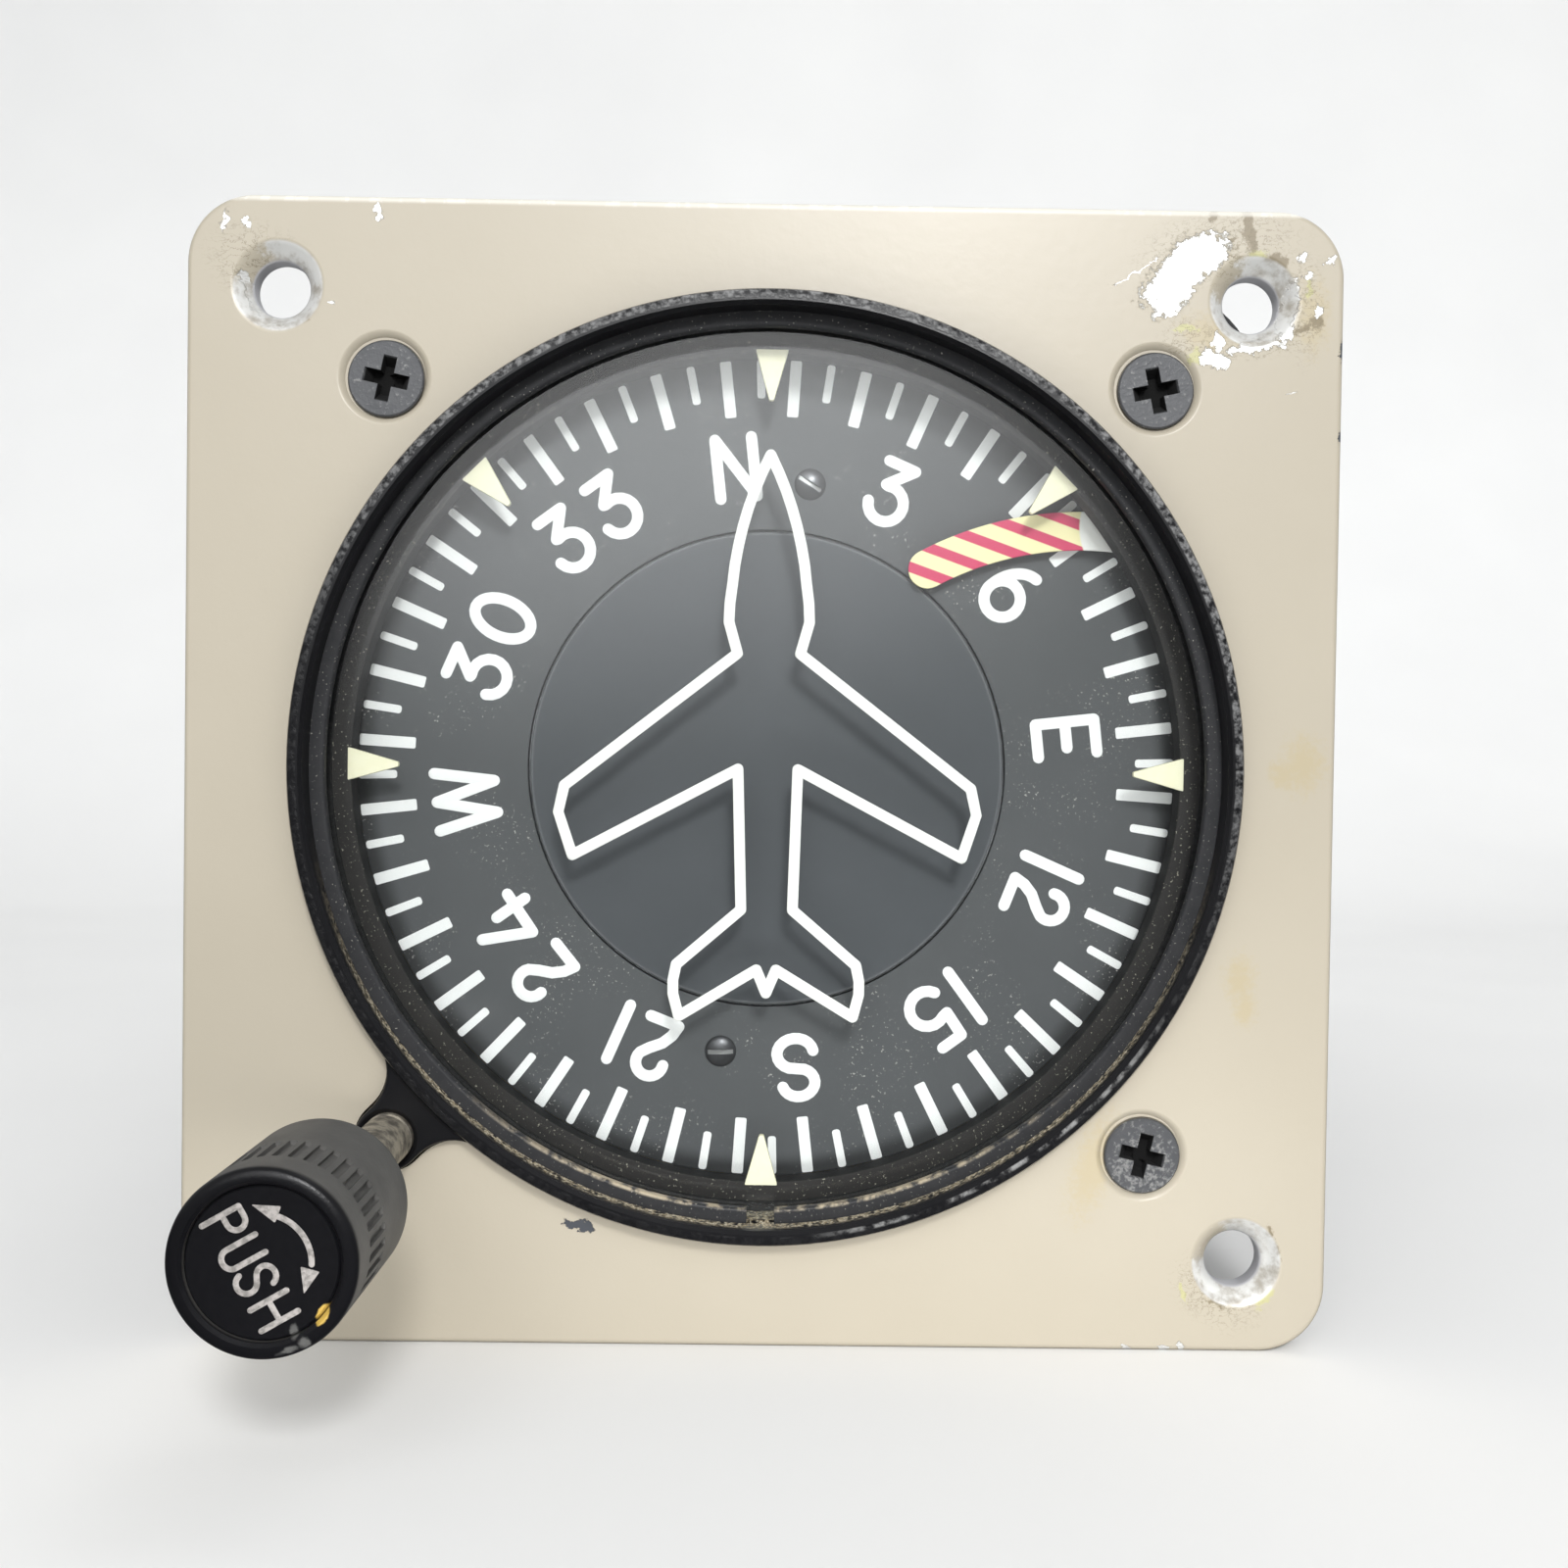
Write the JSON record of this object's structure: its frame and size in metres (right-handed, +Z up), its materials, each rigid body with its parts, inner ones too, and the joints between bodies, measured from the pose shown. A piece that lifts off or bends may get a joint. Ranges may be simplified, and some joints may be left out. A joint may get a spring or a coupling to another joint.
{
  "type": "directional gyro",
  "caption": "Panel-mounted directional gyro: square flange, glazed rotating compass card with fixed aircraft outline, warning flag, push-to-set knob and gimballed rotor in a cylindrical case.",
  "frame": {"origin": "on the instrument axis, level with the front face of the mounting flange", "axes": "-Y out of the dial towards the viewer, +Y along the case to the connector, +Z up the panel, +X to the viewer's right"},
  "size_m": [0.0826, 0.1867, 0.082],
  "materials": {
    "flange_paint": "worn cream enamel",
    "black_paint": "semi-gloss black enamel",
    "spring_steel": "blackened",
    "clear_glass": "clear",
    "seal_rubber": "matte",
    "dial_paint": "matte dark grey",
    "mark_paint": "matte off-white",
    "flag_paint": "red and pale yellow stripes",
    "bright_steel": "ground",
    "dark_steel": "blackened",
    "aluminium": "machined",
    "brass": "machined",
    "black_plastic": "gloss black",
    "insulator": "matte brown",
    "board_green": "matte green",
    "copper": "enamelled copper wire",
    "case_paint": "matte black"
  },
  "bodies": {
    "case": {"mounting_flange": "flange_paint", "flange_screw_1": "dark_steel", "flange_screw_2": "dark_steel", "flange_screw_3": "dark_steel", "bezel": "black_paint", "snap_ring": "spring_steel", "front_glass": "clear_glass", "glass_seal": "seal_rubber", "lubber_mask": "black_paint", "aircraft_symbol": "mark_paint", "front_plate": "aluminium", "card_bearing_front": "bright_steel", "card_bearing_rear": "bright_steel", "gyro_frame": "aluminium", "gimbal_bearing_top": "bright_steel", "gimbal_bearing_bottom": "bright_steel", "flag_coil": "copper", "knob_bush": "brass", "return_spring": "spring_steel", "case_shell": "case_paint", "rear_cover": "case_paint", "rear_screw_1": "dark_steel", "rear_screw_2": "dark_steel", "rear_screw_3": "dark_steel", "connector_shell": "aluminium", "connector_insert": "insulator", "connector_pin_1": "brass", "connector_pin_2": "brass", "connector_pin_3": "brass", "inverter_board": "board_green", "board_standoff_1": "brass", "board_standoff_2": "brass", "board_standoff_3": "brass", "transformer": "dark_steel", "capacitor": "aluminium"},
    "card": {"card_arbor": "aluminium", "compass_card": "dial_paint", "centre_disc": "dial_paint", "card_screw_1": "dark_steel", "card_screw_2": "dark_steel", "setting_gear": "brass", "card_gear": "brass"},
    "flag": {"power_flag": "flag_paint", "flag_pivot": "bright_steel", "flag_magnet": "dark_steel"},
    "outer_gimbal_set": {"outer_gimbal": "aluminium", "gimbal_gear": "brass", "trunnion_bearing_left": "bright_steel", "trunnion_bearing_right": "bright_steel"},
    "rotor_case": {"rotor_housing": "aluminium", "housing_cap": "aluminium", "stator": "copper", "rotor_bearing_front": "bright_steel", "rotor_bearing_rear": "bright_steel"},
    "rotor_wheel": {"rotor": "dark_steel"},
    "push_slider": {"push_yoke": "brass"},
    "knob": {"set_knob": "black_plastic", "knob_cap": "black_plastic", "knob_shaft": "dark_steel", "knob_set_screw": "dark_steel"}
  },
  "joints": [
    {"name": "gimbal_turn", "type": "hinge", "parent": "case", "child": "outer_gimbal_set", "pos_m": [0, 0.04524, 0], "axis": [0, 0, 1], "continuous": true},
    {"name": "card_turn", "type": "hinge", "parent": "case", "child": "card", "pos_m": [0, 0, 0], "axis": [0, 1, 0], "continuous": true},
    {"name": "gimbal_tilt", "type": "hinge", "parent": "outer_gimbal_set", "child": "rotor_case", "pos_m": [0, 0.04524, 0], "axis": [1, 0, 0], "range_deg": [-55, 55]},
    {"name": "rotor_spin", "type": "hinge", "parent": "rotor_case", "child": "rotor_wheel", "pos_m": [0, 0.04524, 0], "axis": [0, 1, 0], "continuous": true},
    {"name": "flag_swing", "type": "hinge", "parent": "case", "child": "flag", "pos_m": [0.02802, 0.00584, 0.01855], "axis": [0, 1, 0], "range_deg": [0, 49.5], "stiffness_Nm_per_rad": 0.001, "springref_deg": -11.46},
    {"name": "knob_push", "type": "slide", "parent": "case", "child": "push_slider", "axis": [0, 1, 0], "range_m": [0, 0.00297], "stiffness_N_per_m": 400, "springref_m": -0.002, "deforming": ["return_spring"]},
    {"name": "knob_turn", "type": "hinge", "parent": "push_slider", "child": "knob", "pos_m": [-0.02664, -0.0225, -0.02664], "axis": [0, 1, 0], "continuous": true}
  ],
  "couplings": [
    {"joint": "card_turn", "follows": "gimbal_turn", "ratio": -1}
  ]
}
